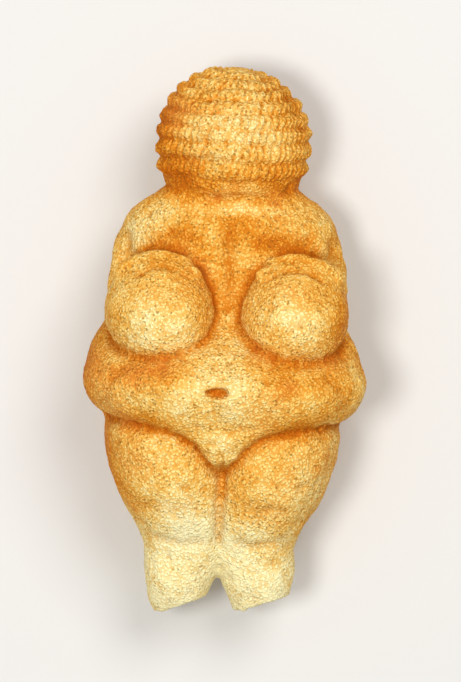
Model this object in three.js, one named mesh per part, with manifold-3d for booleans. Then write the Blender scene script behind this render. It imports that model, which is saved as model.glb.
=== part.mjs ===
// A palm-sized stone figurine of a heavy woman with no face, no feet and a braided cap, carved in one
// piece. Its legs end in two broken stubs, so it lies on its back: X runs across the body, Y from the
// leg ends to the crown, and Z is the way the figure faces. The origin is the middle of its footprint.
import * as THREE from "three";
import { mergeVertices } from "three/addons/utils/BufferGeometryUtils.js";
import Module from "manifold-3d";

// Driving dimensions, in millimetres.
const HEIGHT = 111; // leg ends to crown

// The carving is laid out in hundredths of the height. Heights run up from the leg ends, depths run
// forward from the surface that the back lies on, and widths are measured from the middle.
const HUNDREDTH = HEIGHT / 100;

// Outlines: height, distance from the middle, half width, back and front.
const TRUNK = [
  [30, 0, 5, 14, 30],
  [31.6, 0, 13, 9, 34],
  [34.4, 0, 19.8, 5, 37.2],
  [37.8, 0, 24.3, 3.4, 39.6],
  [41.8, 0, 26, 3.8, 40.4],
  [46, 0, 25.5, 4.4, 37],
  [50.5, 0, 23.8, 4.2, 32.2],
  [55, 0, 21.7, 2.8, 29.4],
  [61, 0, 20.2, 0.6, 29],
  [66, 0, 20, -0.3, 28.8],
  [70, 0, 19.8, 0.4, 27.8],
  [73, 0, 18.5, 1.6, 26.6],
  [75.6, 0, 15.8, 3.2, 26],
  [77.8, 0, 12.4, 4.8, 26.2],
  [84, 0, 10.6, 6.6, 27],
];
const LEG = [
  [0, 7.4, 4, 11.4, 19.4],
  [2.4, 7.4, 5.2, 10, 21.6],
  [6, 7.1, 6.4, 8.8, 23.8],
  [9.6, 6.4, 7.4, 8.4, 25],
  [12.8, 6, 8, 8.2, 26.6],
  [16, 6.4, 9, 6.8, 29.2],
  [21, 7.6, 10.6, 4.6, 32.2],
  [27, 9, 11.5, 3, 34],
  [33, 10.1, 11.6, 2.6, 33.6],
  [39, 10.8, 10.4, 5, 28],
];
const PUBIS = [
  [25, 0, 1, 20, 29],
  [27.8, 0, 3.6, 20, 33.4],
  [30.8, 0, 7, 20, 35.4],
  [33.6, 0, 11.4, 20, 36.4],
  [38, 0, 14, 20, 34],
];
const SQUARENESS = 2.3; // of the trunk and legs across: 2 is an ellipse, more is fuller at the corners

// Rounded masses: centre (aside, height, depth) and half sizes in the same order.
const BUTTOCK = { centre: [8.7, 37.6, 11.4], reach: [12.4, 11.4, 12.1] };
const BREAST = { centre: [11.8, 54, 26.6], reach: [10.3, 11, 12.4] };
const BREAST_RISE = 13.4; // how far the breast's upper half runs up towards the shoulder
const BREAST_SLOPE = 4; // how far it drops back to the chest on the way
const HAND = { centre: [7.4, 61.4, 31.2], reach: [2.9, 2.1, 1.6] };

// Arms: points along the limb, then its radius at each end.
const UPPER_ARM = {
  path: [[12.2, 70.4, 13.6], [15.8, 67, 14.4], [17.4, 61.6, 17.4], [18, 56.8, 21.4]],
  radii: [5.6, 3.9],
};
const LIMB_FULLNESS = 1.6; // how blunt the limbs' ends are
const ELBOW = [18.4, 57, 20.5];
const FOREARM_RADII = [1.9, 1.2];
const FOREARM_SWEEP = [44, 126]; // degrees round the breast, from its outer side to the hand
const FOREARM_REACH = 0.99; // distance from the breast's middle, as a share of its half sizes
const FOREARM_SINK = 1; // how far its middle line lies below the breast's surface

// The head: a dome over a longer, straighter nape, bowed forward, with no face. Courses of knotted braid
// are wound round it, and a plain band is left below them.
const HEAD = { centre: [0, 86.8, 17.6], reach: [13.8, 12.7, 13.6], nape: 19 };
const HEAD_BOW = 8; // degrees
const DOME_COURSES = 6;
const NAPE_COURSES = 2;
const BAND_COURSES = 1; // the height of the plain band, in courses
const CROWN_ANGLE = 14; // degrees from the crown's middle to the first course
const NAPE_ANGLE = 121; // degrees from the crown's middle to the lower edge of the band
const KNOTS = 40; // in each course
const BRAID_RELIEF = 0.8;
const KNOT_SHARE = 0.4; // the part of that relief that dips between two knots

// Cuts.
const NAVEL = { centre: [-1, 40.4, 40.4], reach: [2.1, 1.25, 1.7] };
const SPINE = {
  path: [[0, 47, 3.4], [0, 55, 0.9], [0, 62, -1.1], [0, 69, -1.3], [0, 76, 2.2]],
  radii: [2.2, 2.2],
};
// Breaks across the leg ends, each from one point across and up to the next.
const BREAKS = [
  [[-9.6, 0], [-1, 3.5]],
  [[0, 0.7], [5.4, 0.7]],
  [[5.4, 1.2], [14, 4]],
];
const REST_DEPTH = 0.45; // how much of the back is worn flat where the figurine lies

const STONE = { color: 0xd49a4c, roughness: 0.85, metalness: 0 };

const wasm = await Module();
wasm.setup();

const radians = THREE.MathUtils.degToRad;
const lerp = THREE.MathUtils.lerp;

// The values of an outline at a height, on a smooth curve through its rows.
function outlineAt(rows, height) {
  const last = rows.length - 1;
  const above = rows.findIndex((row) => row[0] > height);
  const i = above < 0 ? last - 1 : Math.max(above - 1, 0);
  const span = rows[i + 1][0] - rows[i][0];
  const t = (height - rows[i][0]) / span;
  const slope = (k, column) => {
    const [before, after] = [rows[Math.max(k - 1, 0)], rows[Math.min(k + 1, last)]];
    return ((after[column] - before[column]) / (after[0] - before[0])) * span;
  };
  return [1, 2, 3, 4].map(
    (column) =>
      rows[i][column] * (1 + 2 * t) * (1 - t) ** 2 +
      rows[i + 1][column] * (3 - 2 * t) * t ** 2 +
      slope(i, column) * t * (1 - t) ** 2 -
      slope(i + 1, column) * t ** 2 * (1 - t),
  );
}

// Moves every vertex of a geometry to where place() puts it.
function reshape(geometry, place) {
  const position = geometry.attributes.position;
  const vertex = new THREE.Vector3();
  for (let i = 0; i < position.count; i += 1) {
    place(vertex.fromBufferAttribute(position, i));
    position.setXYZ(i, vertex.x, vertex.y, vertex.z);
  }
  return geometry;
}

// A closed form whose sections across Y follow an outline.
function loft(rows, columns, levels, side = 1) {
  const [bottom, top] = [rows[0][0], rows.at(-1)[0]];
  return reshape(new THREE.CylinderGeometry(1, 1, 1, columns, levels), (vertex) => {
    const height = lerp(bottom, top, vertex.y + 0.5);
    const [aside, halfWidth, back, front] = outlineAt(rows, height);
    const round = (Math.abs(vertex.x) ** SQUARENESS + Math.abs(vertex.z) ** SQUARENESS) ** (1 / SQUARENESS);
    const scale = round > 0 ? Math.hypot(vertex.x, vertex.z) / round : 0;
    vertex.set(
      side * aside + vertex.x * scale * halfWidth,
      height,
      (back + front) / 2 + (vertex.z * scale * (front - back)) / 2,
    );
  });
}

// A rounded mass on one side of the body.
function mass({ centre, reach }, side, columns, levels) {
  return new THREE.SphereGeometry(1, columns, levels)
    .scale(...reach)
    .translate(side * centre[0], centre[1], centre[2]);
}

// A limb with rounded ends along a smooth path.
function limb({ path, radii }, side = 1, columns = 14, levels = 16) {
  const points = path.map(([x, y, z]) => new THREE.Vector3(side * x, y, z));
  const curve = new THREE.CatmullRomCurve3(points);
  const forward = new THREE.Vector3(0, 0, 1);
  return reshape(new THREE.SphereGeometry(1, columns, levels), (vertex) => {
    const t = (1 - vertex.y) / 2;
    const along = curve.getTangent(t);
    const across = new THREE.Vector3().crossVectors(forward, along).normalize();
    const up = new THREE.Vector3().crossVectors(along, across);
    const radius = lerp(...radii, t);
    // The middle keeps its full thickness, and only the ends are drawn in.
    const ring = Math.hypot(vertex.x, vertex.z);
    const full = (radius * Math.min(1, LIMB_FULLNESS * ring)) / Math.max(ring, 1e-6);
    const [u, w] = [vertex.x * full, vertex.z * full];
    vertex.copy(curve.getPoint(t)).addScaledVector(across, u).addScaledVector(up, w);
  });
}

// The breast's upper half is drawn out towards the shoulder and lies back on the chest.
function breast(side) {
  const { centre, reach } = BREAST;
  return reshape(new THREE.SphereGeometry(1, 24, 18), (vertex) => {
    const rise = Math.max(vertex.y, 0);
    vertex.set(
      side * centre[0] + vertex.x * reach[0],
      centre[1] + (vertex.y > 0 ? BREAST_RISE : reach[1]) * vertex.y,
      centre[2] + vertex.z * reach[2] - BREAST_SLOPE * rise,
    );
  });
}

// How far forward the breast's surface lies at a place on it.
function breastDepth(aside, height) {
  const { centre, reach } = BREAST;
  const across = (aside - centre[0]) / reach[0];
  const rise = Math.max(height - centre[1], 0) / BREAST_RISE;
  return centre[2] + reach[2] * Math.sqrt(Math.max(1 - across ** 2 - rise ** 2, 0)) - BREAST_SLOPE * rise;
}

// The forearm follows the breast's upper edge, from the outer side to the hand between the breasts.
function forearm(side) {
  const { centre, reach } = BREAST;
  const steps = 5;
  const round = Array.from({ length: steps + 1 }, (_, i) => {
    const turn = radians(lerp(...FOREARM_SWEEP, i / steps));
    const aside = centre[0] + Math.cos(turn) * FOREARM_REACH * reach[0];
    const height = centre[1] + Math.sin(turn) * FOREARM_REACH * reach[1];
    return [aside, height, breastDepth(aside, height) - FOREARM_SINK];
  });
  return limb({ path: [ELBOW, ...round], radii: FOREARM_RADII }, side, 8, 22);
}

// How far the braids stand out, at a number of courses down from the crown and an angle round the head.
function braidRelief(course, around) {
  if (course > DOME_COURSES + NAPE_COURSES) {
    return 0;
  }
  const swell = Math.sin(Math.PI * (course % 1));
  const stagger = Math.floor(course) % 2 ? Math.PI : 0;
  const dip = (1 - Math.cos(KNOTS * around + stagger)) / 2;
  return BRAID_RELIEF * swell * (1 - KNOT_SHARE * dip);
}

// The angle from the crown's middle, at a number of courses down from it.
function courseAngle(course) {
  const down = course - DOME_COURSES;
  return down > 0
    ? lerp(90, NAPE_ANGLE, down / (NAPE_COURSES + BAND_COURSES))
    : lerp(90, CROWN_ANGLE, -down / DOME_COURSES);
}

function head() {
  const courses = DOME_COURSES + NAPE_COURSES + BAND_COURSES;
  // Each course is a crest and a groove, and the flat underside lies against the neck.
  return reshape(new THREE.CylinderGeometry(1, 1, 1, 2 * KNOTS, 2 * courses), (vertex) => {
    const course = (0.5 - vertex.y) * courses;
    const onAxis = Math.hypot(vertex.x, vertex.z) < 0.5;
    const around = Math.atan2(vertex.x, vertex.z);
    const out = new THREE.Vector3().setFromSphericalCoords(1, radians(courseAngle(course)), around);
    const [across, rise, deep] = HEAD.reach;
    vertex.copy(out).multiply(new THREE.Vector3(across, out.y < 0 ? HEAD.nape : rise, deep));
    vertex.addScaledVector(out, braidRelief(course, around));
    if (onAxis) {
      vertex.set(0, vertex.y, 0);
    }
  })
    .rotateX(radians(HEAD_BOW))
    .translate(...HEAD.centre);
}

// What is lost below a break.
function lostBelow([from, to]) {
  const depth = 30;
  const [across, up] = [to[0] - from[0], to[1] - from[1]];
  const length = Math.hypot(across, up);
  return new THREE.BoxGeometry(length, depth, 2 * depth)
    .translate(length / 2, -depth / 2, 0)
    .rotateZ(Math.atan2(up, across))
    .translate(...from, 0);
}

// The table's side of the surface that the figurine lies on.
function table() {
  const size = 240;
  return new THREE.BoxGeometry(size, size, size).translate(0, 0, REST_DEPTH - size / 2);
}

// A geometry as a solid that can be joined and cut.
function solid(geometry) {
  const bare = new THREE.BufferGeometry();
  bare.setAttribute("position", geometry.attributes.position);
  bare.setIndex(geometry.index);
  const merged = mergeVertices(bare, 1e-4);
  return new wasm.Manifold(
    new wasm.Mesh({
      numProp: 3,
      vertProperties: merged.attributes.position.array,
      triVerts: new Uint32Array(merged.index.array),
    }),
  );
}

// A solid as a geometry in millimetres, standing on its middle.
function finished(body) {
  const mesh = body.getMesh();
  const geometry = new THREE.BufferGeometry();
  geometry.setAttribute("position", new THREE.BufferAttribute(mesh.vertProperties, 3));
  geometry.setIndex(new THREE.BufferAttribute(mesh.triVerts, 1));
  geometry.scale(HUNDREDTH, HUNDREDTH, HUNDREDTH);
  geometry.computeBoundingBox();
  const centre = geometry.boundingBox.getCenter(new THREE.Vector3());
  geometry.translate(-centre.x, -centre.y, -geometry.boundingBox.min.z);
  geometry.computeVertexNormals();
  return geometry;
}

const bothSides = [-1, 1].flatMap((side) => [
  loft(LEG, 20, 20, side),
  mass(BUTTOCK, side, 22, 14),
  breast(side),
  limb(UPPER_ARM, side, 16, 14),
  forearm(side),
  mass(HAND, side, 10, 6),
]);
const middle = [loft(TRUNK, 40, 28), loft(PUBIS, 16, 8), head()];
const cuts = [mass(NAVEL, 1, 12, 8), limb(SPINE, 1, 12, 16), ...BREAKS.map(lostBelow), table()];

let body = [...middle, ...bothSides].map(solid).reduce((whole, form) => whole.add(form));
body = cuts.map(solid).reduce((whole, cut) => whole.subtract(cut), body);

const figurine = new THREE.Mesh(finished(body), new THREE.MeshStandardMaterial(STONE));
figurine.name = "figurine";

const group = new THREE.Group();
group.add(figurine);

export default group;
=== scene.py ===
"""The looks of a palm-sized venus figurine of ochre-tinted limestone, which lies on its back.

The figurine is one piece. Its main forms are built in hundredths of its height, as its solid is, then
fused, softened and carved, and the tint of every point, ochre with painted light and shade mixed in, is
kept for the stone's material to use.
"""

import math

import bmesh
import bpy
import numpy as np
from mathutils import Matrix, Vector, noise


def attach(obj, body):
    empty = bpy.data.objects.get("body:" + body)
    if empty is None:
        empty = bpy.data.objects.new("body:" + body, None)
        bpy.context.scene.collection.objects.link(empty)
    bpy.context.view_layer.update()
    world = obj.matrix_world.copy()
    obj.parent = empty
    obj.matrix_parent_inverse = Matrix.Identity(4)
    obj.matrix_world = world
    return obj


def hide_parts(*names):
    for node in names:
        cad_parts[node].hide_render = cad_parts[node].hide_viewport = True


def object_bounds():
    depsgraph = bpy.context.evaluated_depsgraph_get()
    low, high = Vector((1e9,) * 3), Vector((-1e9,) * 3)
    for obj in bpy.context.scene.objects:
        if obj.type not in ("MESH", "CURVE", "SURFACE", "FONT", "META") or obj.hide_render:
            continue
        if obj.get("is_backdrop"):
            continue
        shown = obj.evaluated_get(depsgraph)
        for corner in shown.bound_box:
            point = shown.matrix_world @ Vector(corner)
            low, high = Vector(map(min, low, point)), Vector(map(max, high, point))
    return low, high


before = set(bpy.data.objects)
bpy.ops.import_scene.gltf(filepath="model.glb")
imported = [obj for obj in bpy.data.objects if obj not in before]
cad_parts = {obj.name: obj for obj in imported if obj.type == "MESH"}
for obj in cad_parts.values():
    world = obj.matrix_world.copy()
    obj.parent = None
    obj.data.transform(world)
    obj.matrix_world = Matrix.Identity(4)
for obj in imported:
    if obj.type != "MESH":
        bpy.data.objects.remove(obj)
cad_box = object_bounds()

# Driving dimensions, in metres.
HEIGHT = 0.111  # leg ends to crown
HUNDREDTH = HEIGHT / 100
VOXEL = 0.0006  # how finely the forms are fused

# The forms are laid out in hundredths of the height: across the body, up from the leg ends, and forward
# from the surface that the back lies on.
REST_DEPTH = 0.45  # how much of the back is worn flat where the figurine lies
ORIGIN = np.array([0, 50, REST_DEPTH])  # what lies at the part's origin

# Outlines: height, distance from the middle, half width, back and front.
TRUNK = [
    [30, 0, 5, 14, 30],
    [31.6, 0, 13, 9, 34],
    [34.4, 0, 19.8, 5, 37.2],
    [37.8, 0, 24.3, 3.4, 39.6],
    [41.8, 0, 26, 3.8, 40.4],
    [46, 0, 25.5, 4.4, 37],
    [50.5, 0, 23.8, 4.2, 32.2],
    [55, 0, 21.7, 2.8, 29.4],
    [61, 0, 20.2, 0.6, 29],
    [66, 0, 20, -0.3, 28.8],
    [70, 0, 19.8, 0.4, 27.8],
    [73, 0, 18.5, 1.6, 26.6],
    [75.6, 0, 15.8, 3.2, 26],
    [77.8, 0, 12.4, 4.8, 26.2],
    [84, 0, 10.6, 6.6, 27],
]
LEG = [
    [0, 7.4, 4, 11.4, 19.4],
    [2.4, 7.4, 5.2, 10, 21.6],
    [6, 7.1, 6.4, 8.8, 23.8],
    [9.6, 6.4, 7.4, 8.4, 25],
    [12.8, 6, 8, 8.2, 26.6],
    [16, 6.4, 9, 6.8, 29.2],
    [21, 7.6, 10.6, 4.6, 32.2],
    [27, 9, 11.5, 3, 34],
    [33, 10.1, 11.6, 2.6, 33.6],
    [39, 10.8, 10.4, 5, 28],
]
PUBIS = [
    [25, 0, 1, 20, 29],
    [27.8, 0, 3.6, 20, 33.4],
    [30.8, 0, 7, 20, 35.4],
    [33.6, 0, 11.4, 20, 36.4],
    [38, 0, 14, 20, 34],
]
SQUARENESS = 2.3  # of the trunk and legs across: 2 is an ellipse, more is fuller at the corners

# Rounded masses: centre and half sizes.
BUTTOCK = {"centre": (8.7, 37.6, 11.4), "reach": (12.4, 11.4, 12.1)}
BREAST = {"centre": (11.8, 54, 26.6), "reach": (10.3, 11, 12.4)}
BREAST_RISE = 13.4  # how far the breast's upper half runs up towards the shoulder
BREAST_SLOPE = 4  # how far it drops back to the chest on the way
HAND = {"centre": (7.4, 61.4, 31.2), "reach": (2.9, 2.1, 1.6)}
POLE_GAP = 0.02  # how far from each end of a rounded form its outermost ring lies, in radians

# Arms: points along the limb, and its radius at each end.
UPPER_ARM = {
    "path": [(12.2, 70.4, 13.6), (15.8, 67, 14.4), (17.4, 61.6, 17.4), (18, 56.8, 21.4)],
    "radii": (5.6, 3.9),
}
LIMB_FULLNESS = 1.6  # how blunt the limbs' ends are
ELBOW = (18.4, 57, 20.5)  # where the forearm begins
FOREARM_RADII = (1.9, 1.2)
FOREARM_SWEEP = (44, 126)  # degrees round the breast, from its outer side to the hand
FOREARM_POINTS = 6  # on that sweep
FOREARM_REACH = 0.99  # distance from the breast's middle, as a share of its half sizes
FOREARM_SINK = 1  # how far its middle line lies below the breast's surface
WRIST = 114  # degrees round the breast, where the hand begins

# The head, its courses of braid and the plain band below them.
HEAD = {"centre": (0, 86.8, 17.6), "reach": (13.8, 12.7, 13.6)}
NAPE_REACH = 19  # the head's half size below its centre
HEAD_BOW = 8  # degrees
DOME_COURSES = 6
NAPE_COURSES = 2
BAND_COURSES = 1  # the band's height, in courses
SKIN_INNER = (0.9, 0.95)  # the mesh is drawn onto the head's form where it lies past this share of its size
SKIN_OUTER = (1.12, 1.06)  # and short of this one
SKIN_EDGE = 0.07  # how far above the band's lower edge that fades out, in radians
CROWN_ANGLE = 14  # degrees from the crown's middle to the first course
NAPE_ANGLE = 121  # degrees from the crown's middle to the band's lower edge
KNOT_PITCH = 1.45
KNOT_LEAN = 0.5  # how far a knot leans across its course, in knots
COURSE_STRAY = 0.16  # how far a course strays from its level, in courses
KNOT_STRAY = 0.45  # how far a knot strays along its course, in knots
BRAID_RELIEF = 0.8  # how far a knot stands out
KNOT_SHARE = 0.6  # the part of that relief that dips between two knots
BOSS_SHARE = 0.6  # the part of it that the smooth boss on the crown stands out
COURSE_FULLNESS = 2.1  # of a knot across its course: 2 is round, more is flatter on top
KNOT_FULLNESS = 2.2  # the same along its course
KNOT_UNEVENNESS = [(3, 0.35, 2, 5.5), (1.2, 0.25, 1, 2.2)]  # size, share of the relief, octaves and place

# Breaks across the leg ends, each from one point across and up to the next.
BREAKS = [
    [(-9.6, 0), (-1, 3.5)],
    [(0, 0.7), (5.4, 0.7)],
    [(5.4, 1.2), (14, 4)],
]
BREAK_ROUGHNESS = 0.3  # how far a break strays from that line
BREAK_LIFT = 0.8  # how far it lies above the line on the whole, as a share of the roughness

# Creases along the joins between the forms.
JOIN_HOLLOW = (0.02, 0.12)  # a join begins at the first hollowness, and is whole at the second
NARROW_HOLLOW = (0.03, 0.08)  # the same for the narrow joins, where the mesh is finer
NARROW_SHARE = 0.35  # how much of that a point needs
CREASE_GAIN = 1.1  # how much deeper a join is cut, as a share of its hollowness
DEEPEST_HOLLOW = 0.4  # the hollowness past which the cut gets no deeper
CREASE_LINE = 1.35  # how deep the fine line along each join of the front goes below that
CREASE_WIDTH = 0.55  # half the width of that line
FRONT_DEPTH = 20  # only the joins further forward than this have the line and the finer mesh
FRONT_FADE = 2  # how far behind and before that depth the line fades in

# Cuts in the front: points across and up, half the width, the depth, and whether both sides have one.
GROOVES = [
    {"path": [(0.2, 73), (-0.1, 67), (0.2, 60), (0, 53)], "width": 1.1, "depth": 0.8, "paired": False},
    {"path": [(1.5, 13.6), (6, 12.8), (10, 13.4), (13.6, 14.6)], "width": 0.8, "depth": 0.4, "paired": True},
    {"path": [(5, 68.4), (10, 69), (14.5, 67.6), (17, 64.6)], "width": 1.3, "depth": 0.45, "paired": True},
    {"path": [(17, 45.4), (20, 43), (21.4, 40), (21.2, 36)], "width": 1.1, "depth": 0.55, "paired": True},
    {"path": [(3.4, 21.4), (6.4, 19.2), (10, 19), (13, 20.6)], "width": 1.4, "depth": 0.3, "paired": True},
    {"path": [(0, 30), (0.2, 24), (-0.1, 18), (0.2, 11)], "width": 0.6, "depth": 0.9, "paired": False},
]
GROOVE_FADE = 0.2  # the share of a cut's length over which each end fades out
FACING = 0.1  # the front is where the normal leans further forward than this, and the back likewise

# The groove along the spine, the same way.
SPINE = {"path": [(0, 46), (0, 56), (0, 66), (0, 77)], "width": 1.7, "depth": 0.8}

# Cuts in the flanks, the same way, with points up and forward.
FLANK_GROOVES = [
    {"path": [(70, 19.6), (66, 20.4), (62.4, 22), (59.8, 24.6)], "width": 1.3, "depth": 0.7},
    {"path": [(66, 7), (62, 9.6), (57.6, 13), (53.6, 17), (52, 20.6), (53, 24)], "width": 1.4, "depth": 0.9},
]
FLANK_FACING = (0.2, 0.5)  # those cuts fade in as the normal leans this far aside

# The navel is taller towards one end and lower towards the other, by the taper as a share of its height.
NAVEL = {"centre": (-1.3, 40.4), "half": (2.4, 1.05), "depth": 1.9, "taper": 0.55}
NAVEL_WALL = (1.1, 0.4)  # where its wall begins and ends, as shares of its half sizes

# Cuts along the forearms and between the fingers.
FOREARM_EDGES = [(0.82, 0.7), (1.15, 0.5)]  # where each edge lies, as FOREARM_REACH, and its cut's depth
FOREARM_CUT_WIDTH = 0.55
FINGER_DIRECTION = (-0.85, -0.5)  # across and up, from the knuckles to the tips
FINGER_PITCH = 1.15
FINGER_LENGTH = 3.4
FINGER_CUT = {"width": 0.3, "depth": 0.42}

# The mesh is finer on the head, and in front round the hands and the navel: places across and up, and radii.
FINE_HEIGHT = 77.5
FINE_DEPTH = 22
FINE_PLACES = [(HAND["centre"][:2], 3.6), (NAVEL["centre"], 3.4)]
SHARPEST_FOLD = 0.1  # how far two neighbouring faces may turn from each other, as the cosine between them

# The front of the neck is evened out. That fades in at the first of each pair, and is whole at the second.
COLLAR_LOWER = (72, 74.5)
COLLAR_UPPER = (81.5, 79)
COLLAR_FRONT = (12, 18)

# Marks of wear.
WORN = 0.25  # how much is gone everywhere
UNEVENNESS = [(13, 0.55, 2), (4.5, 0.24, 2), (1.7, 0.12, 2)]  # size, height and octaves
PITS = [(430, 0.65, 1.05), (50, 1.0, 1.7)]  # how many, their smallest radius and their largest
PIT_DEPTH = 0.28  # as a share of a pit's radius
PIT_FLOOR = 0.3  # the radius of its floor, as a share of the same
PIT_SEED = 11
HAND_CLEARANCE = (2, 4)  # from the hand's middle, the pits fade in between these distances
HAND_CLEARANCE_DEPTH = 8  # how far behind the hand that holds

# How much ochre is left, from 0 to 1. Each pair is where something begins and where it is whole.
EVEN_OCHRE = 0.5  # everywhere
PATCHY_OCHRE = 0.14  # how much that varies
HOLLOW_OCHRE = 0.25  # how much more there is in the wide hollows
WIDE_HOLLOW = (0.05, 1.2)
PIT_OCHRE = 0.12  # how much more in the small ones
BRAID_OCHRE = 0.24  # and in those of the head, besides
SMALL_HOLLOW = (0.02, 0.2)
BRAID_HEIGHTS = (77, 80)
TOOL_OCHRE = 0.12  # how much more in the cuts
GROOVE_MARK = 0.6  # how plain a mark a groove leaves, as a share of its depth
DEEPEST_MARK = 0.3  # the most that comes to, where the line along a join leaves 1
# Painted shade, partly ochre: the small hollows and the cut lines are darkened by this share.
DARK_SHARE = 0.5  # how dark the small hollows are, from 0 to 1
DARK_HOLLOW = (0.0, 0.22)
PLACE_FADE = (1.25, 0.1)  # how a place below fades in, as shares of its spread

# Where more or less ochre is left, and where painted shade darkens the sides of the body and the head: a
# place, how far it spreads each way, and how much.
OCHRE_AND_SHADE_PLACES = [
    ((-9, 79, 24), (7, 5, 12), 0.45),
    ((9, 79, 24), (7, 5, 12), 0.4),
    # Painted shade besides ochre: the head's sides, darker on the left than on the right.
    ((-13, 90, 22), (5, 12, 12), 0.35),
    ((13, 89, 22), (5, 10, 12), 0.15),
    ((0, 70, 27), (13, 7, 6), 0.18),
    ((-9.5, 67.6, 28), (8, 2.2, 6), 0.08),
    ((9.5, 67.6, 28), (8, 2.2, 6), 0.25),
    ((-1.2, 40.4, 39), (2.4, 1.2, 6), 0.24),
    ((-13, 43.5, 36), (10, 4, 8), 0.32),
    ((14, 43, 36), (10, 4, 8), 0.15),
    ((-14.5, 34.8, 34), (9, 3, 8), 0.2),
    ((14.5, 34.8, 34), (9, 3, 8), 0.15),
    # Painted shade besides ochre: the left hip, the left flank and the right breast's outer edge are darker
    # towards the outline.
    ((-20, 28, 20), (5, 12, 12), 0.3),
    ((-25, 44, 22), (6, 10, 12), 0.28),
    ((20, 50, 28), (4, 9, 8), 0.32),
    # Painted highlight: this pale ledge below the neck band has less ochre.
    ((2, 73.5, 27), (10, 1.5, 4), -0.3),
]
# Where handling has rubbed it off, partly painted light on the high points that face the lamps: a place on
# the surface, how far it spreads, and how much.
RUBBED_AND_LIT_PLACES = [
    ((-12.5, 52.5, 39), (9, 9, 8), 0.22),
    ((11, 53, 39), (9, 9, 8), 0.22),
    ((-1, 37.5, 41), (13, 8, 8), 0.3),
    ((0, 46, 37), (9, 8, 8), 0.26),
    ((0.5, 88.5, 31), (9, 8, 8), 0.29),
    ((0, 97, 22), (9, 4, 9), 0.06),
    # Painted light: the left shoulder is paler where it turns away from the lamps.
    ((-17, 70, 22), (7, 6, 8), 0.24),
    ((-9, 24, 34), (8, 9, 9), 0.16),
    ((9, 24, 34), (8, 9, 9), 0.03),
    ((-5, 16.5, 28), (10, 7, 10), 0.3),
    ((0, 30, 36), (5, 4, 6), 0.2),
    ((0, 20, 27), (2.5, 7, 6), 0.15),
    ((0, 5, 20), (20, 16, 18), 0.8),
]

# Colours. The stone's own run from no ochre to the most, and the others are mixed in by a share.
STONE_COLOURS = [
    (0.0, "#fff4bc"),
    (0.25, "#fcdf90"),
    (0.5, "#f6bf5b"),
    (0.75, "#e59226"),
    (1.0, "#c86406"),
]
ROSY = {"colour": "#ee9654", "share": 0.25}
# Painted shade, partly the ochre left in the cuts: the small hollows, creases and cut lines are mixed
# towards this colour.
HOLLOW_OCHRE_AND_SHADE = {"colour": "#b25a10", "share": 0.7}
LOST_GRAIN = {"colour": "#8a5a1e", "share": 0.55}
GAP_COLOUR = "#b0742a"
FLOOR_COLOUR = "#dcdad6"

# How fine each pattern in the stone is, in features a metre.
PATTERNS = {
    "bends": 1100,
    "grains": 1650,
    "lost grains": 1500,
    "crowds of lost grains": 90,
    "fine": 2600,
    "patches": 420,
    "blotches": 140,
    "rosy spots": 75,
}
GRAIN_BEND = 0.0007  # how far the rows of grains are bent, in metres
BUMP = 0.0002  # how high the grains stand, in metres
SHINE = 0.01  # the stone's specular level

# Lights: place and size in metres, and power in watts.
LIGHTS = {
    "key": ((-0.18, -0.04, 0.75), 0.18, 3.0),
    "fill": ((0.22, 0.3, 0.7), 0.4, 2.7),
}
LIGHT_AIM = (0, 0, 0.02)
SKY_STRENGTH = 0.44
FLOOR_SIZE = 4

# The camera looks straight down, with the crown at the top of the picture.
VIEW_HEIGHT = 0.1381  # what the picture's height spans at the body's middle depth
VIEW_DISTANCE = 0.9
VIEW_CENTRE = (0.0009, -0.0002)
MIDDLE_DEPTH = 0.018
VIEW_TURN = 2.1  # degrees that the camera is turned about its line of sight


# Building the forms.
def smooth_through(rows, places):
    """Values at some places on a smooth curve through rows of a place and its values."""
    rows = np.asarray(rows, float)
    at, values = rows[:, 0], rows[:, 1:]
    slopes = np.empty_like(values)
    slopes[1:-1] = (values[2:] - values[:-2]) / (at[2:] - at[:-2])[:, None]
    slopes[0] = (values[1] - values[0]) / (at[1] - at[0])
    slopes[-1] = (values[-1] - values[-2]) / (at[-1] - at[-2])
    i = np.clip(np.searchsorted(at, places, side="right") - 1, 0, len(at) - 2)
    span = (at[i + 1] - at[i])[:, None]
    t = (places[:, None] - at[i][:, None]) / span
    return (
        values[i] * (1 + 2 * t) * (1 - t) ** 2
        + values[i + 1] * (3 - 2 * t) * t**2
        + slopes[i] * span * t * (1 - t) ** 2
        - slopes[i + 1] * span * t**2 * (1 - t)
    )


def closed(rings):
    """A closed shell of stacked rings of points, with a fan of faces at each end."""
    levels, columns, _ = rings.shape
    ends = rings[[0, -1]].mean(axis=1)
    points = np.vstack([rings.reshape(-1, 3), ends])
    low, high = levels * columns, levels * columns + 1
    faces = []
    for level in range(levels - 1):
        for column in range(columns):
            beside = (column + 1) % columns
            a, b = level * columns + column, level * columns + beside
            faces.append((a, b, b + columns, a + columns))
    for column in range(columns):
        beside = (column + 1) % columns
        faces.append((beside, column, low))
        faces.append((low - columns + column, low - columns + beside, high))
    return points, faces


def loft(rows, side=1, columns=160, levels=180):
    """A form whose sections across the height follow an outline."""
    heights = np.linspace(rows[0][0], rows[-1][0], levels)
    aside, half_width, back, front = smooth_through(rows, heights).T[:, :, None]
    turn = np.linspace(0, 2 * math.pi, columns, endpoint=False)
    x, z = np.sin(turn), np.cos(turn)
    full = (np.abs(x) ** SQUARENESS + np.abs(z) ** SQUARENESS) ** (-1 / SQUARENESS)
    across = side * aside + half_width * x * full
    deep = (back + front) / 2 + (front - back) / 2 * z * full
    up = np.broadcast_to(heights[:, None], across.shape)
    return closed(np.stack([across, up, deep], axis=2))


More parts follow.
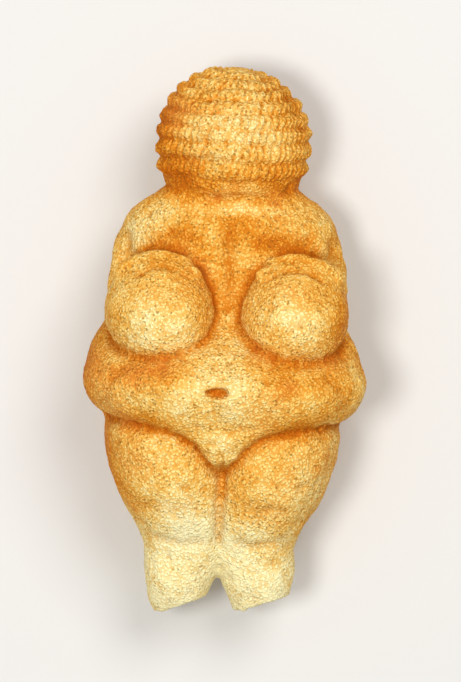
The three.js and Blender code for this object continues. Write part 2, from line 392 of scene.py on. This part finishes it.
def ball(columns=96, levels=64):
    """Rings of a ball of radius 1."""
    polar = np.linspace(math.pi - POLE_GAP, POLE_GAP, levels)[:, None]
    turn = np.linspace(0, 2 * math.pi, columns, endpoint=False)
    x, z = np.sin(polar) * np.sin(turn), np.sin(polar) * np.cos(turn)
    return np.stack([x, np.broadcast_to(np.cos(polar), x.shape), z], axis=2)


def mass(form, side=1):
    """A rounded mass on one side of the body."""
    return closed(ball() * form["reach"] + np.multiply(form["centre"], (side, 1, 1)))


def limb(path, radii, side=1, columns=40, levels=120):
    """A limb with rounded ends along a smooth path."""
    path = np.multiply(path, (side, 1, 1))
    steps = np.sqrt(np.linalg.norm(np.diff(path, axis=0), axis=1))
    places = np.append(0, np.cumsum(steps)) / steps.sum()
    share = (1 - np.cos(np.linspace(POLE_GAP, math.pi - POLE_GAP, levels))) / 2
    centres = smooth_through(np.column_stack([places, path]), share)
    along = np.gradient(centres, axis=0)
    along /= np.linalg.norm(along, axis=1)[:, None]
    across = np.cross((0, 0, 1), along)
    across /= np.linalg.norm(across, axis=1)[:, None]
    up = np.cross(along, across)
    thick = radii[0] + (radii[1] - radii[0]) * share
    thick *= np.minimum(1, LIMB_FULLNESS * np.sqrt(1 - (2 * share - 1) ** 2))
    turn = np.linspace(0, 2 * math.pi, columns, endpoint=False)
    out = across[:, None] * np.sin(turn)[:, None] + up[:, None] * np.cos(turn)[:, None]
    return closed(centres[:, None] + out * thick[:, None, None])


def breast(side):
    """The breast's upper half is drawn out towards the shoulder and lies back on the chest."""
    centre, reach = BREAST["centre"], BREAST["reach"]
    x, y, z = np.moveaxis(ball(), 2, 0)
    rise = np.maximum(y, 0)
    return closed(
        np.stack(
            [
                side * centre[0] + x * reach[0],
                centre[1] + np.where(y > 0, BREAST_RISE, reach[1]) * y,
                centre[2] + z * reach[2] - BREAST_SLOPE * rise,
            ],
            axis=2,
        )
    )


def breast_depth(aside, height):
    """How far forward the breast's surface lies at a place on it."""
    centre, reach = BREAST["centre"], BREAST["reach"]
    across = (aside - centre[0]) / reach[0]
    rise = max(height - centre[1], 0) / BREAST_RISE
    return centre[2] + reach[2] * math.sqrt(max(1 - across**2 - rise**2, 0)) - BREAST_SLOPE * rise


def forearm(side):
    """The forearm follows the breast's upper edge, from the outer side to the hand."""
    path = [ELBOW]
    for turn in np.radians(np.linspace(*FOREARM_SWEEP, FOREARM_POINTS)):
        aside = BREAST["centre"][0] + math.cos(turn) * FOREARM_REACH * BREAST["reach"][0]
        height = BREAST["centre"][1] + math.sin(turn) * FOREARM_REACH * BREAST["reach"][1]
        path.append((aside, height, breast_depth(aside, height) - FOREARM_SINK))
    return limb(path, FOREARM_RADII, side)


def course_angle(course):
    """The angle from the crown's middle, at a number of courses down from it."""
    courses = [0, DOME_COURSES, DOME_COURSES + NAPE_COURSES + BAND_COURSES]
    return np.radians(np.interp(course, courses, [CROWN_ANGLE, 90, NAPE_ANGLE]))


def head_point(polar, around, relief=0.0):
    """A point of the head's form, at an angle from the crown and an angle round it."""
    x, y, z = np.sin(polar) * np.sin(around), np.cos(polar), np.sin(polar) * np.cos(around)
    across, rise, deep = HEAD["reach"]
    x, z = x * (across + relief), z * (deep + relief)
    y = y * (np.where(y < 0, NAPE_REACH, rise) + relief)
    bow = math.radians(HEAD_BOW)
    turned = [x, y * math.cos(bow) - z * math.sin(bow), y * math.sin(bow) + z * math.cos(bow)]
    return np.stack(turned, axis=-1) + HEAD["centre"]


def head(columns=160, levels=90):
    """The head without its relief."""
    polar = np.linspace(POLE_GAP, math.radians(NAPE_ANGLE), levels)[::-1, None]
    turn = np.linspace(0, 2 * math.pi, columns, endpoint=False)
    polar, turn = np.broadcast_arrays(polar, turn)
    return closed(head_point(polar, turn))


def fused_mesh(forms):
    """One mesh round all the forms, in hundredths."""
    vertices, faces, count = [], [], 0
    for points, form_faces in forms:
        vertices.append(points)
        faces += [tuple(index + count for index in face) for face in form_faces]
        count += len(points)
    mesh = bpy.data.meshes.new("forms")
    mesh.from_pydata(np.vstack(vertices).tolist(), [], faces)
    draft = bpy.data.objects.new("forms", mesh)
    bpy.context.scene.collection.objects.link(draft)
    remesh = draft.modifiers.new("fuse", "REMESH")
    remesh.mode = "VOXEL"
    remesh.voxel_size = VOXEL / HUNDREDTH
    depsgraph = bpy.context.evaluated_depsgraph_get()
    fused = bpy.data.meshes.new_from_object(draft.evaluated_get(depsgraph))
    bpy.data.objects.remove(draft)
    bpy.data.meshes.remove(mesh)
    return fused


# Working on the points of a mesh.
def points_of(mesh):
    """The places of the mesh's points, a row for each."""
    points = np.empty(len(mesh.vertices) * 3)
    mesh.vertices.foreach_get("co", points)
    return points.reshape(-1, 3)


def move_points(mesh, points):
    """Moves the mesh's points to new places, which also brings its normals up to date."""
    mesh.vertices.foreach_set("co", points.ravel())
    mesh.update()


def normals_of(mesh):
    """The direction that the surface faces at each point."""
    normals = np.empty(len(mesh.vertices) * 3)
    mesh.vertex_normals.foreach_get("vector", normals)
    return normals.reshape(-1, 3)


def edges_of(mesh):
    """The two points of each edge."""
    edges = np.empty(len(mesh.edges) * 2, dtype=np.int64)
    mesh.edges.foreach_get("vertices", edges)
    return edges.reshape(-1, 2)


def relaxed(values, edges, rounds, share=0.5):
    """Values drawn towards the average of their neighbours', a number of times."""
    a, b = edges.T
    ends, others = np.concatenate([a, b]), np.concatenate([b, a])
    neighbours = np.bincount(ends, minlength=len(values))[:, None]
    values = values.reshape(len(values), -1).copy()
    for _ in range(rounds):
        sums = [np.bincount(ends, column[others], len(values)) for column in values.T]
        values += share * (np.stack(sums, axis=1) / neighbours - values)
    return values


def softened(points, edges, rounds):
    """Points smoothed without shrinking: each round draws them in, and then out a little further."""
    for _ in range(rounds):
        points = relaxed(points, edges, 1, 0.5)
        points = relaxed(points, edges, 1, -0.53)
    return points


def evened(points, edges, rounds, share):
    """Points drawn a share of the way to the average of the surface round them."""
    return points + share * (relaxed(points, edges, rounds) - points)


def hollowness(mesh, points, edges, rounds):
    """How far each point lies below the average of the surface round it."""
    return np.einsum("ij,ij->i", relaxed(points, edges, rounds) - points, normals_of(mesh))


def roughness_at(points, size, octaves, place):
    """Smooth noise of about -1 to 1 whose largest features have a size, from some place in the pattern."""
    start = Vector((place, 2.3 * place, -1.7 * place))
    values = [noise.fractal(Vector(point) + start, 1.0, 2.0, octaves) for point in points / size]
    return np.array(values)


def step(value, low, high):
    """0 up to low and 1 past high, with a smooth rise between. High may also be the smaller one."""
    t = np.clip((value - low) / (high - low), 0, 1)
    return t * t * (3 - 2 * t)


# Carving.
def wound_with_braids(points):
    """Draws the head's points onto its form and raises the courses of knots."""
    # Where each point lies on the head, as if that were upright and a ball of radius 1.
    bow = math.radians(HEAD_BOW)
    x, y, z = (points - HEAD["centre"]).T
    y, z = y * math.cos(bow) + z * math.sin(bow), -y * math.sin(bow) + z * math.cos(bow)
    across, rise, deep = HEAD["reach"]
    unit = np.stack([x / across, y / np.where(y < 0, NAPE_REACH, rise), z / deep], axis=1)
    length = np.linalg.norm(unit, axis=1)
    polar = np.arccos(np.clip(unit[:, 1] / length, -1, 1))
    around = np.arctan2(unit[:, 0], unit[:, 2])

    # The number of courses down to it, with numbers below 0 for the boss.
    table = np.linspace(-1.5, DOME_COURSES + NAPE_COURSES + BAND_COURSES, 400)
    angles = course_angle(np.maximum(table, 0)) + math.radians(CROWN_ANGLE) * np.minimum(table, 0)
    course = np.interp(polar, angles, table)

    edge = math.radians(NAPE_ANGLE)
    on_head = step(length, *SKIN_INNER) * step(length, *SKIN_OUTER) * step(polar, edge, edge - SKIN_EDGE)
    shaped = head_point(polar, around, braid_relief(points, course, around))
    return points + on_head[:, None] * (shaped - points)


def braid_relief(points, course, around):
    """How far the knots and the boss on the crown stand out."""
    courses = DOME_COURSES + NAPE_COURSES
    course = course + COURSE_STRAY * roughness_at(points, size=9, octaves=3, place=3.1)
    index = np.floor(course)
    place = course - index
    middle = course_angle(np.clip(index + 0.5, 0, None))
    knots = np.round(2 * math.pi * HEAD["reach"][0] * np.sin(middle) / KNOT_PITCH)
    phase = knots * around / (2 * math.pi) + 0.5 * index + KNOT_LEAN * (place - 0.5)
    phase += KNOT_STRAY * roughness_at(points, size=4, octaves=2, place=8.4)
    knot = phase - np.floor(phase)
    across, along = np.abs(2 * place - 1), np.abs(2 * knot - 1)
    rounded = np.clip(1 - across**COURSE_FULLNESS - KNOT_SHARE * along**KNOT_FULLNESS, 0, 1)
    uneven = np.ones(len(points))
    for size, share, octaves, start in KNOT_UNEVENNESS:
        uneven += share * roughness_at(points, size, octaves, start)
    wound = step(course, courses + 0.02, courses - 0.02) * step(course, -0.1, 0.1)
    boss = BOSS_SHARE * BRAID_RELIEF * step(course, 0.1, -0.3)
    return BRAID_RELIEF * rounded * uneven * wound + boss


def outside_loft(points, rows, side=1):
    """Roughly how far each point lies outside a loft."""
    heights = np.clip(points[:, 1], rows[0][0], rows[-1][0])
    aside, half_width, back, front = smooth_through(rows, heights).T
    x, z = points[:, 0] - side * aside, points[:, 2] - (back + front) / 2
    across, deep = np.abs(x / half_width), np.abs(2 * z / (front - back))
    reach = np.maximum((across**SQUARENESS + deep**SQUARENESS) ** (1 / SQUARENESS), 0.1)
    return (1 - 1 / reach) * np.hypot(x, z) + np.abs(points[:, 1] - heights)


def outside_trunk(points):
    """Roughly how far each point lies outside the trunk and the pubis."""
    return np.minimum(outside_loft(points, TRUNK), outside_loft(points, PUBIS))


def outside_legs(points):
    """Roughly how far each point lies outside the nearer leg."""
    return np.minimum(outside_loft(points, LEG, -1), outside_loft(points, LEG, 1))


def outside_breasts(points):
    """Roughly how far each point lies outside the nearer breast."""
    across, up, deep = BREAST["reach"]
    x, y, z = (np.column_stack([np.abs(points[:, 0]), points[:, 1:]]) - BREAST["centre"]).T
    y = y / np.where(y > 0, BREAST_RISE, up)
    z = z + BREAST_SLOPE * np.maximum(y, 0)
    return (np.sqrt((x / across) ** 2 + y**2 + (z / deep) ** 2) - 1) * up


def join_lines(points):
    """1 on the lines where the trunk, the legs and the breasts meet in front, and 0 away from them."""
    # A point on such a line is near two of the forms' surfaces, so the second nearest tells.
    small = 0.05
    distances = []
    for outside in (outside_trunk, outside_legs, outside_breasts):
        value = outside(points)
        slopes = [(outside(points + offset) - value) / small for offset in small * np.eye(3)]
        distances.append(np.abs(value) / np.linalg.norm(slopes, axis=0))
    from_second = np.partition(distances, 1, axis=0)[1]
    front = step(points[:, 2], FRONT_DEPTH - FRONT_FADE, FRONT_DEPTH + FRONT_FADE)
    return front * np.exp(-((from_second / CREASE_WIDTH) ** 2))


def broken_ends(points):
    """Moves what is lost below each break up onto it."""
    rough = BREAK_ROUGHNESS * (roughness_at(points, size=3, octaves=4, place=1.9) + BREAK_LIFT)
    for start, end in BREAKS:
        slope = (end[1] - start[1]) / (end[0] - start[0])
        line = start[1] + slope * (points[:, 0] - start[0]) + rough
        here = (points[:, 0] > start[0]) & (points[:, 0] <= end[0]) & (points[:, 1] < line)
        points[here, 1] = line[here]
    return points


def groove_depth(groove, path, places, samples=60):
    """How deep a groove along a smooth line goes at each place. It fades out at its ends."""
    lengths = np.append(0, np.cumsum(np.linalg.norm(np.diff(path, axis=0), axis=1)))
    shares = np.linspace(0, 1, samples)
    line = smooth_through(np.column_stack([lengths / lengths[-1], path]), shares)
    distances = np.linalg.norm(places[:, None] - line[None], axis=2)
    nearest = distances.argmin(axis=1)
    distance, share = distances[np.arange(len(places)), nearest], shares[nearest]
    fade = step(share, 0, GROOVE_FADE) * step(share, 1, 1 - GROOVE_FADE)
    return groove["depth"] * fade * np.exp(-((distance / groove["width"]) ** 2))


def navel_depth(places):
    """How deep the navel goes at each place across and up."""
    across, up = ((places - NAVEL["centre"]) / NAVEL["half"]).T
    up = up / (1 + NAVEL["taper"] * np.clip(across, -1, 1))
    return NAVEL["depth"] * step(np.hypot(across, up), *NAVEL_WALL)


def cut_depth(points, normals):
    """How deep the stone tool went at each point."""
    depth = np.zeros(len(points))
    front = np.flatnonzero(normals[:, 2] > FACING)
    front_places = points[front, :2]
    for groove in [*GROOVES, *forearm_edges(), *finger_lines()]:
        for side in (-1, 1) if groove["paired"] else (1,):
            depth[front] += groove_depth(groove, np.multiply(groove["path"], (side, 1)), front_places)
    back = np.flatnonzero(normals[:, 2] < -FACING)
    depth[back] += groove_depth(SPINE, SPINE["path"], points[back, :2])
    flank = step(np.abs(normals[:, 0]), *FLANK_FACING)
    for groove in FLANK_GROOVES:
        depth += flank * groove_depth(groove, groove["path"], points[:, 1:])
    depth[front] += navel_depth(front_places)
    return depth


def forearm_edges():
    """The lines along the forearm's two edges, where it lies on the breast."""
    turn = np.radians(np.linspace(FOREARM_SWEEP[0], WRIST, FOREARM_POINTS))
    round_breast = np.stack([np.cos(turn), np.sin(turn)], axis=1) * BREAST["reach"][:2]
    for reach, depth in FOREARM_EDGES:
        path = BREAST["centre"][:2] + reach * round_breast
        yield {"path": path, "width": FOREARM_CUT_WIDTH, "depth": depth, "paired": True}


def finger_lines():
    """The lines between the four fingers of each hand."""
    along = np.array(FINGER_DIRECTION) / np.linalg.norm(FINGER_DIRECTION)
    beside = np.array([-along[1], along[0]])
    middle = np.array(HAND["centre"][:2])
    for place in (-1, 0, 1):
        start = middle + place * FINGER_PITCH * beside - along * FINGER_LENGTH / 2
        path = [start, start + along * FINGER_LENGTH / 2, start + along * FINGER_LENGTH]
        yield {"path": path, "paired": True, **FINGER_CUT}


def pitted(points, evenly_spread):
    """How deep small pits and lost flakes go at each point. The first points are evenly spread."""
    random = np.random.default_rng(PIT_SEED)
    depth = np.zeros(len(points))
    for count, smallest, largest in PITS:
        centres = points[random.integers(0, evenly_spread, count)]
        radii = random.uniform(smallest, largest, count)
        for centre, radius in zip(centres, radii):
            near = np.flatnonzero(np.abs(points - centre).max(axis=1) < radius)
            distance = np.linalg.norm(points[near] - centre, axis=1) / radius
            depth[near] = np.maximum(depth[near], PIT_DEPTH * radius * step(distance, 1, PIT_FLOOR))
    from_hand = np.linalg.norm(np.abs(points[:, :2]) - HAND["centre"][:2], axis=1)
    beside_hand = points[:, 2] > HAND["centre"][2] - HAND_CLEARANCE_DEPTH
    return np.where(beside_hand, depth * step(from_hand, *HAND_CLEARANCE), depth)


def unfolded(mesh, points, edges, rounds=6):
    """Smooths the few places where the surface is folded onto itself."""
    edge_of = np.empty(len(mesh.loops), dtype=np.int64)
    mesh.loops.foreach_get("edge_index", edge_of)
    sizes = np.empty(len(mesh.polygons), dtype=np.int64)
    mesh.polygons.foreach_get("loop_total", sizes)
    faces = np.repeat(np.arange(len(sizes)), sizes)
    beside = faces[np.argsort(edge_of, kind="stable")].reshape(-1, 2)
    facing = np.empty(len(mesh.polygons) * 3)
    for _ in range(rounds):
        move_points(mesh, points)
        mesh.polygons.foreach_get("normal", facing)
        first, second = facing.reshape(-1, 3)[beside].transpose(1, 0, 2)
        folded = np.zeros(len(points))
        folded[edges[np.einsum("ij,ij->i", first, second) < SHARPEST_FOLD]] = 1
        folded = np.minimum(1, 3 * relaxed(folded, edges, 2))
        points = evened(points, edges, rounds=3, share=folded)
    return points


def front_joins(mesh, points, edges):
    """Whether a point lies in a narrow hollow of the front, where two forms meet."""
    narrow = step(hollowness(mesh, points, edges, rounds=4), *NARROW_HOLLOW)
    return (relaxed(narrow, edges, 2)[:, 0] > NARROW_SHARE) & (points[:, 2] > FRONT_DEPTH)


def refine(mesh, chosen):
    """Halves every edge between two chosen points."""
    work = bmesh.new()
    work.from_mesh(mesh)
    work.verts.ensure_lookup_table()
    edges = [edge for edge in work.edges if all(chosen[vertex.index] for vertex in edge.verts)]
    bmesh.ops.subdivide_edges(work, edges=edges, cuts=1, use_grid_fill=True)
    work.to_mesh(mesh)
    work.free()


def needs_detail(points):
    """Whether a point lies where the carving is finest."""
    chosen = points[:, 1] > FINE_HEIGHT
    for place, radius in FINE_PLACES:
        for side in (-1, 1):
            distance = np.linalg.norm(points[:, :2] - np.multiply(place, (side, 1)), axis=1)
            chosen |= (distance < radius) & (points[:, 2] > FINE_DEPTH)
    return chosen


def main_forms():
    """The forms that the body is fused from."""
    forms = [loft(TRUNK), loft(PUBIS), head()]
    for side in (-1, 1):
        forms += [loft(LEG, side), mass(BUTTOCK, side), breast(side), forearm(side), mass(HAND, side)]
        forms.append(limb(UPPER_ARM["path"], UPPER_ARM["radii"], side))
    return forms


def smoothed_forms(mesh):
    """Smooths the fused forms, makes the mesh finer where it is carved, and evens out the collar."""
    edges = edges_of(mesh)
    points = softened(points_of(mesh), edges, rounds=5)
    move_points(mesh, points)
    refine(mesh, needs_detail(points) | front_joins(mesh, points, edges))
    edges = edges_of(mesh)
    points = softened(points_of(mesh), edges, rounds=3)
    collar = step(points[:, 1], *COLLAR_LOWER) * step(points[:, 1], *COLLAR_UPPER)
    collar *= step(points[:, 2], *COLLAR_FRONT)
    points = evened(points, edges, rounds=40, share=collar[:, None])
    move_points(mesh, points)
    return points, edges


def carved(mesh, points, edges):
    """Evens out the joins, cuts them in again with the grooves, and winds the head with its braids."""
    joins = step(hollowness(mesh, points, edges, rounds=12), *JOIN_HOLLOW)
    lines = relaxed(join_lines(points), edges, rounds=3)[:, 0]
    points = evened(points, edges, rounds=12, share=relaxed(joins, edges, rounds=3))
    move_points(mesh, points)
    normals = relaxed(normals_of(mesh), edges, rounds=24)
    hollow = np.clip(hollowness(mesh, points, edges, rounds=12), 0, DEEPEST_HOLLOW)
    cuts = cut_depth(points, normals)
    depth = CREASE_GAIN * relaxed(hollow, edges, rounds=5)[:, 0]
    depth += CREASE_LINE * lines + cuts
    points = points - depth[:, None] * normals
    near_lines = np.minimum(1, 2 * relaxed(lines, edges, rounds=5))
    points = evened(points, edges, rounds=6, share=near_lines)
    points = wound_with_braids(points)
    points = unfolded(mesh, relaxed(points, edges, rounds=1, share=0.4), edges)
    move_points(mesh, points)
    tool_marks = np.maximum(lines, np.minimum(GROOVE_MARK * cuts, DEEPEST_MARK))
    return points, tool_marks


def worn(mesh, points, edges, evenly_spread):
    """Wears the carving down, with pits and unevenness, breaks the leg ends and flattens the back."""
    lost = WORN + pitted(points, evenly_spread)
    for size, height, octaves in UNEVENNESS:
        lost -= height * roughness_at(points, size, octaves, place=size)
    points = points - lost[:, None] * relaxed(normals_of(mesh), edges, rounds=5)
    points = broken_ends(unfolded(mesh, points, edges))
    points[:, 2] = np.maximum(points[:, 2], REST_DEPTH)
    move_points(mesh, points)
    return points


def figurine():
    """The carved figurine's mesh, in metres."""
    mesh = fused_mesh(main_forms())
    evenly_spread = len(mesh.vertices)
    points, edges = smoothed_forms(mesh)
    points, tool_marks = carved(mesh, points, edges)
    points = worn(mesh, points, edges, evenly_spread)
    keep_tint(mesh, points, edges, tool_marks)
    move_points(mesh, (points - ORIGIN) * HUNDREDTH)
    mesh.polygons.foreach_set("use_smooth", [True] * len(mesh.polygons))
    return mesh


def keep_tint(mesh, points, edges, tool_marks):
    """Keeps how much ochre is left at each point, with painted shade at the sides and painted light on the
    high points, and how far the small hollows and cuts are darkened, partly as painted shade.
    """
    close = hollowness(mesh, points, edges, rounds=5)
    wide = hollowness(mesh, points, edges, rounds=80)
    ochre = EVEN_OCHRE + PATCHY_OCHRE * roughness_at(points, size=16, octaves=3, place=4.7)
    ochre += HOLLOW_OCHRE * step(wide, *WIDE_HOLLOW) + TOOL_OCHRE * tool_marks
    small_ochre = PIT_OCHRE + BRAID_OCHRE * step(points[:, 1], *BRAID_HEIGHTS)
    ochre += small_ochre * step(close, *SMALL_HOLLOW)
    # Ochre by place, with painted shade at the sides and painted light on the high points.
    for places, sign in ((OCHRE_AND_SHADE_PLACES, 1), (RUBBED_AND_LIT_PLACES, -1)):
        for place, reach, amount in places:
            away = np.linalg.norm((points - place) / reach, axis=1)
            ochre += sign * amount * step(away, *PLACE_FADE)
    keep(mesh, "ochre", np.clip(ochre, 0, 1))
    # Painted shade in the small hollows and along the cuts, partly the ochre left in them.
    keep(mesh, "hollow", np.maximum(DARK_SHARE * step(close, *DARK_HOLLOW), tool_marks))


def keep(mesh, name, values):
    """Stores a value for each point under a name that the material reads."""
    mesh.attributes.new(name, "FLOAT", "POINT").data.foreach_set("value", values.astype(np.float32))


# Materials.
def srgb(code):
    """A colour from its red, green and blue as seen on a screen."""
    channels = [int(code[i : i + 2], 16) / 255 for i in (1, 3, 5)]
    return tuple(c / 12.92 if c < 0.04045 else ((c + 0.055) / 1.055) ** 2.4 for c in channels) + (1,)


class Nodes:
    """Short ways to add nodes to a material."""

    def __init__(self, name):
        self.material = bpy.data.materials.new(name)
        self.material.use_nodes = True
        self.tree = self.material.node_tree
        self.shader = self.tree.nodes["Principled BSDF"]

    def add(self, kind, inputs=(), **settings):
        """A new node with its settings, and with a value or a link for each input."""
        node = self.tree.nodes.new(kind)
        for name, value in settings.items():
            setattr(node, name, value)
        for socket, value in dict(inputs).items():
            self.put(value, node.inputs[socket])
        return node

    def put(self, value, socket):
        """Links another node's output to an input, or sets a plain value."""
        if isinstance(value, bpy.types.NodeSocket):
            self.tree.links.new(value, socket)
        else:
            socket.default_value = value

    def math(self, operation, *values):
        """The result of a sum on numbers or other nodes' values."""
        return self.add("ShaderNodeMath", dict(enumerate(values)), operation=operation).outputs[0]

    def ramp(self, value, low, high):
        """0 at one value and 1 at another, with a smooth rise between."""
        inputs = {"Value": value, "From Min": low, "From Max": high}
        return self.add("ShaderNodeMapRange", inputs, interpolation_type="SMOOTHSTEP").outputs[0]

    def mix(self, share, first, second):
        """A colour between two others."""
        node = self.add("ShaderNodeMix", data_type="RGBA")
        for socket, value in ((0, share), (6, first), (7, second)):
            self.put(value, node.inputs[socket])
        return node.outputs[2]

    def noise(self, place, scale, detail=2.0):
        """Cloudy noise of 0 to 1."""
        inputs = {"Vector": place, "Scale": scale, "Detail": detail}
        return self.add("ShaderNodeTexNoise", inputs).outputs["Fac"]

    def cells(self, place, scale):
        """A pattern of cells like packed grains."""
        return self.add("ShaderNodeTexVoronoi", {"Vector": place, "Scale": scale}).outputs

    def attribute(self, name):
        """A value that the mesh keeps for each point."""
        return self.add("ShaderNodeAttribute", attribute_name=name).outputs["Fac"]

    def colours(self, value, stops):
        """A colour for a value of 0 to 1, between stops of a value and its colour."""
        node = self.add("ShaderNodeValToRGB", {0: value})
        elements = node.color_ramp.elements
        for _ in stops[2:]:
            elements.new(0.5)
        for element, (place, code) in zip(elements, stops):
            element.position = place
            element.color = srgb(code)
        return node.outputs["Color"]


def stone_material():
    """Oolitic limestone: pale grains with darker gaps, lost grains, and the ochre that wear has left, with
    painted light and shade in its tint and painted shade in the hollows.
    """
    nodes = Nodes("ochre limestone")
    place = nodes.add("ShaderNodeTexCoord").outputs["Object"]
    bends = {"Vector": place, "Scale": PATTERNS["bends"], "Detail": 2}
    bends = nodes.add("ShaderNodeTexNoise", bends).outputs["Color"]
    shifted = {0: bends, 1: (GRAIN_BEND,) * 3, 2: place}
    crooked = nodes.add("ShaderNodeVectorMath", shifted, operation="MULTIPLY_ADD").outputs[0]
    gap = nodes.ramp(nodes.cells(crooked, PATTERNS["grains"])["Distance"], 0.25, 0.7)
    fine = nodes.noise(place, PATTERNS["fine"])
    blotch = nodes.noise(place, PATTERNS["blotches"], 4)
    patch = nodes.noise(place, PATTERNS["patches"], 3)

    # The ochre that the mesh keeps, varied by each pattern: its middle value, and how much it counts.
    tint = nodes.attribute("ochre")
    for source, middle, share in ((blotch, 0.5, 0.6), (patch, 0.5, 0.4), (gap, 0.4, 0.2), (fine, 0.5, 0.5)):
        tint = nodes.math("MULTIPLY_ADD", nodes.math("SUBTRACT", source, middle), share, tint)
    stained = nodes.math("MULTIPLY_ADD", nodes.ramp(tint, 0.0, 0.4), 0.5, 0.5)
    stone = nodes.colours(tint, STONE_COLOURS)

    rosy = nodes.ramp(nodes.noise(place, PATTERNS["rosy spots"], 3), 0.48, 0.68)
    rosy = nodes.math("MULTIPLY", rosy, nodes.ramp(tint, 0.3, 0.7))
    stone = nodes.mix(nodes.math("MULTIPLY", rosy, ROSY["share"]), stone, srgb(ROSY["colour"]))
    depth = nodes.math("MULTIPLY", gap, nodes.math("MULTIPLY_ADD", patch, 0.5, 0.02))
    stone = nodes.mix(nodes.math("MULTIPLY", depth, stained), stone, srgb(GAP_COLOUR))

    # Specks where a grain has fallen out, thicker in some places than in others.
    lost_cells = nodes.cells(crooked, PATTERNS["lost grains"])
    chance = nodes.add("ShaderNodeSeparateColor", {0: lost_cells["Color"]}).outputs[1]
    crowds = nodes.noise(place, PATTERNS["crowds of lost grains"], 3)
    chance = nodes.math("MULTIPLY_ADD", crowds, 1.4, chance)
    size = nodes.math("MULTIPLY", nodes.ramp(chance, 0.9, 1.6), 0.38)
    speck = nodes.ramp(nodes.math("SUBTRACT", lost_cells["Distance"], size), 0.12, -0.12)
    lost = nodes.math("MULTIPLY", nodes.math("MULTIPLY", speck, LOST_GRAIN["share"]), stained)
    stone = nodes.mix(lost, stone, srgb(LOST_GRAIN["colour"]))

    # Painted shade in the hollows and along the cuts, partly the ochre left in them.
    hollow = nodes.math("MULTIPLY", nodes.attribute("hollow"), HOLLOW_OCHRE_AND_SHADE["share"])
    stone = nodes.mix(hollow, stone, srgb(HOLLOW_OCHRE_AND_SHADE["colour"]))
    nodes.put(stone, nodes.shader.inputs["Base Color"])

    height = nodes.math("MULTIPLY_ADD", gap, -0.7, fine)
    height = nodes.math("MULTIPLY_ADD", speck, -0.4, height)
    bump = nodes.add("ShaderNodeBump", {"Height": height, "Distance": BUMP, "Strength": 1.0})
    nodes.put(bump.outputs["Normal"], nodes.shader.inputs["Normal"])
    roughness = nodes.math("MULTIPLY_ADD", fine, 0.3, 0.35)
    nodes.put(roughness, nodes.shader.inputs["Roughness"])
    nodes.put(SHINE, nodes.shader.inputs["Specular IOR Level"])
    return nodes.material


def floor_material():
    """A pale, dull studio floor."""
    nodes = Nodes("floor")
    nodes.put(srgb(FLOOR_COLOUR), nodes.shader.inputs["Base Color"])
    nodes.put(0.9, nodes.shader.inputs["Roughness"])
    return nodes.material


# Setting the scene.
def soft_light(name, place, size, power):
    """A round lamp that shines on the middle of the body."""
    light = bpy.data.lights.new(name, "AREA")
    light.shape = "DISK"
    light.size = size
    light.energy = power
    lamp = bpy.data.objects.new(name, light)
    lamp.location = place
    lamp.rotation_euler = (Vector(LIGHT_AIM) - Vector(place)).to_track_quat("-Z", "Y").to_euler()
    bpy.context.scene.collection.objects.link(lamp)


def set_world():
    """An even white light from all sides."""
    world = bpy.data.worlds.new("studio")
    world.use_nodes = True
    background = world.node_tree.nodes["Background"]
    background.inputs["Color"].default_value = (1, 1, 1, 1)
    background.inputs["Strength"].default_value = SKY_STRENGTH
    bpy.context.scene.world = world
    bpy.context.scene.view_settings.view_transform = "Standard"


def set_camera():
    """A camera straight above the body."""
    data = bpy.data.cameras.new("camera")
    data.sensor_fit = "VERTICAL"
    data.angle_y = 2 * math.atan(VIEW_HEIGHT / 2 / VIEW_DISTANCE)
    camera = bpy.data.objects.new("camera", data)
    camera.location = (*VIEW_CENTRE, MIDDLE_DEPTH + VIEW_DISTANCE)
    camera.rotation_euler.z = math.radians(VIEW_TURN)
    bpy.context.scene.collection.objects.link(camera)
    bpy.context.scene.camera = camera


# The piece.
stone = bpy.data.objects.new("carved_figurine", figurine())
bpy.context.scene.collection.objects.link(stone)
stone.data.materials.clear()
stone.data.materials.append(stone_material())
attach(stone, "root")
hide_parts("figurine")

# The stage.
bpy.ops.mesh.primitive_plane_add(size=FLOOR_SIZE)
floor = bpy.context.object
floor.name = "floor"
floor.data.materials.append(floor_material())
floor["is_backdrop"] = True
for name, (place, size, power) in LIGHTS.items():
    soft_light(name, place, size, power)
set_world()
set_camera()

boxes = {"cad": cad_box, "visual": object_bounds()}
boxes = {name: [list(corner) for corner in box] for name, box in boxes.items()}
